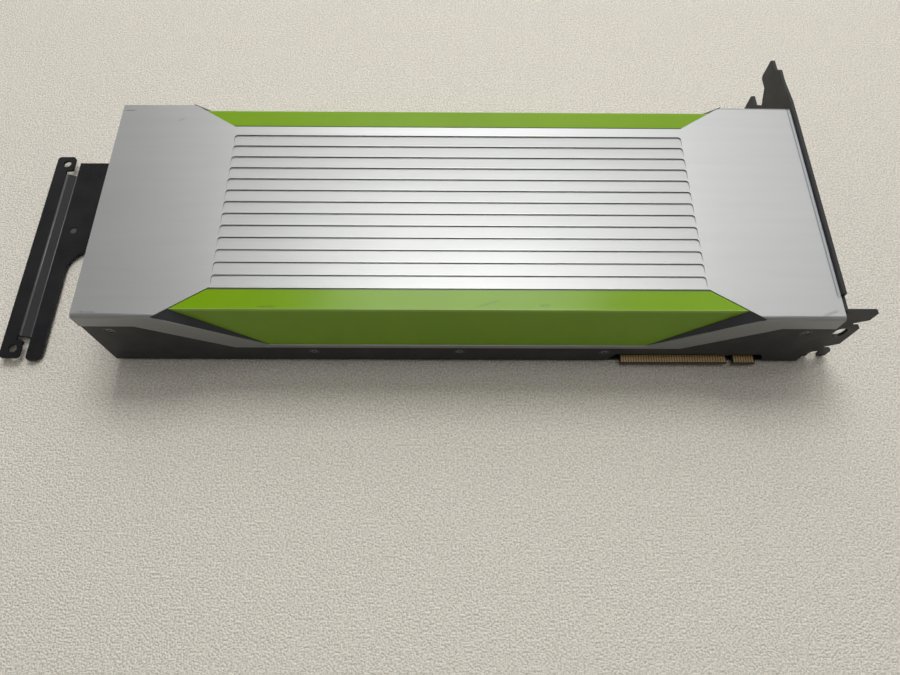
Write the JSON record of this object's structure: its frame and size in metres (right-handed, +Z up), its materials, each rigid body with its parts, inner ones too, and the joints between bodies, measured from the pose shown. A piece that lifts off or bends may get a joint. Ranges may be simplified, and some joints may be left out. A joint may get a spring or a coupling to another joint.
{
  "type": "passive accelerator card",
  "caption": "Long dual-slot accelerator card with a folded silver cover, fine slats, green side trims, black side panels, a slot bracket and a rear extender.",
  "frame": {"origin": "under the middle of the whole card's footprint, on the plane the card rests on", "axes": "+X from the rear extender towards the slot bracket, +Y from the card's top edge towards its connector edge, +Z up out of the silver cover"},
  "size_m": [0.324, 0.127, 0.0405],
  "materials": {
    "cover_satin": "satin, fine bead-blasted",
    "trim_paint": "satin green",
    "panel_paint": "matte black",
    "side_screw_paint": "matte black",
    "board_laminate": "satin solder mask",
    "contact_gold": "plated",
    "bracket_paint": "matte black",
    "extender_paint": "matte black",
    "backplate_paint": "matte black",
    "casting": "cast, dull",
    "fin_metal": "plated, dull",
    "chamber_copper": "dull copper",
    "paste": "matte",
    "package_laminate": "satin",
    "silicon": "polished",
    "stiffener_metal": "dull",
    "package_black": "matte moulded",
    "pad_grey": "soft, matte",
    "choke_grey": "pressed powder",
    "can_metal": "satin",
    "socket_plastic": "matte moulded",
    "pin_metal": "tin plated",
    "screw_steel": "zinc plated"
  },
  "bodies": {
    "root": {"backplate": "backplate_paint", "backplate_screws": "screw_steel", "base_plate": "casting", "bracket": "bracket_paint", "bracket_screws": "screw_steel", "bridge_contacts": "contact_gold", "capacitors": "can_metal", "choke_01": "choke_grey", "choke_02": "choke_grey", "choke_03": "choke_grey", "choke_04": "choke_grey", "choke_05": "choke_grey", "choke_06": "choke_grey", "choke_07": "choke_grey", "choke_08": "choke_grey", "choke_09": "choke_grey", "choke_10": "choke_grey", "choke_pad": "pad_grey", "circuit_board": "board_laminate", "cover": "cover_satin", "edge_contacts": "contact_gold", "extender": "extender_paint", "extender_screws": "screw_steel", "fin_stack": "fin_metal", "gpu_die": "silicon", "gpu_stiffener": "stiffener_metal", "gpu_substrate": "package_laminate", "memory_chip_01": "package_black", "memory_chip_02": "package_black", "memory_chip_03": "package_black", "memory_chip_04": "package_black", "memory_chip_05": "package_black", "memory_chip_06": "package_black", "memory_chip_07": "package_black", "memory_chip_08": "package_black", "memory_chip_09": "package_black", "memory_chip_10": "package_black", "memory_chip_11": "package_black", "memory_chip_12": "package_black", "memory_pad_end": "pad_grey", "memory_pad_far": "pad_grey", "memory_pad_near": "pad_grey", "power_connector": "socket_plastic", "power_pins": "pin_metal", "power_stage_pad": "pad_grey", "power_stages": "package_black", "retention_plate": "backplate_paint", "retention_screws": "screw_steel", "side_panel_far": "panel_paint", "side_panel_near": "panel_paint", "side_screws": "side_screw_paint", "thermal_paste": "paste", "trim_far": "trim_paint", "trim_near": "trim_paint", "vapour_chamber": "chamber_copper"}
  },
  "joints": []
}
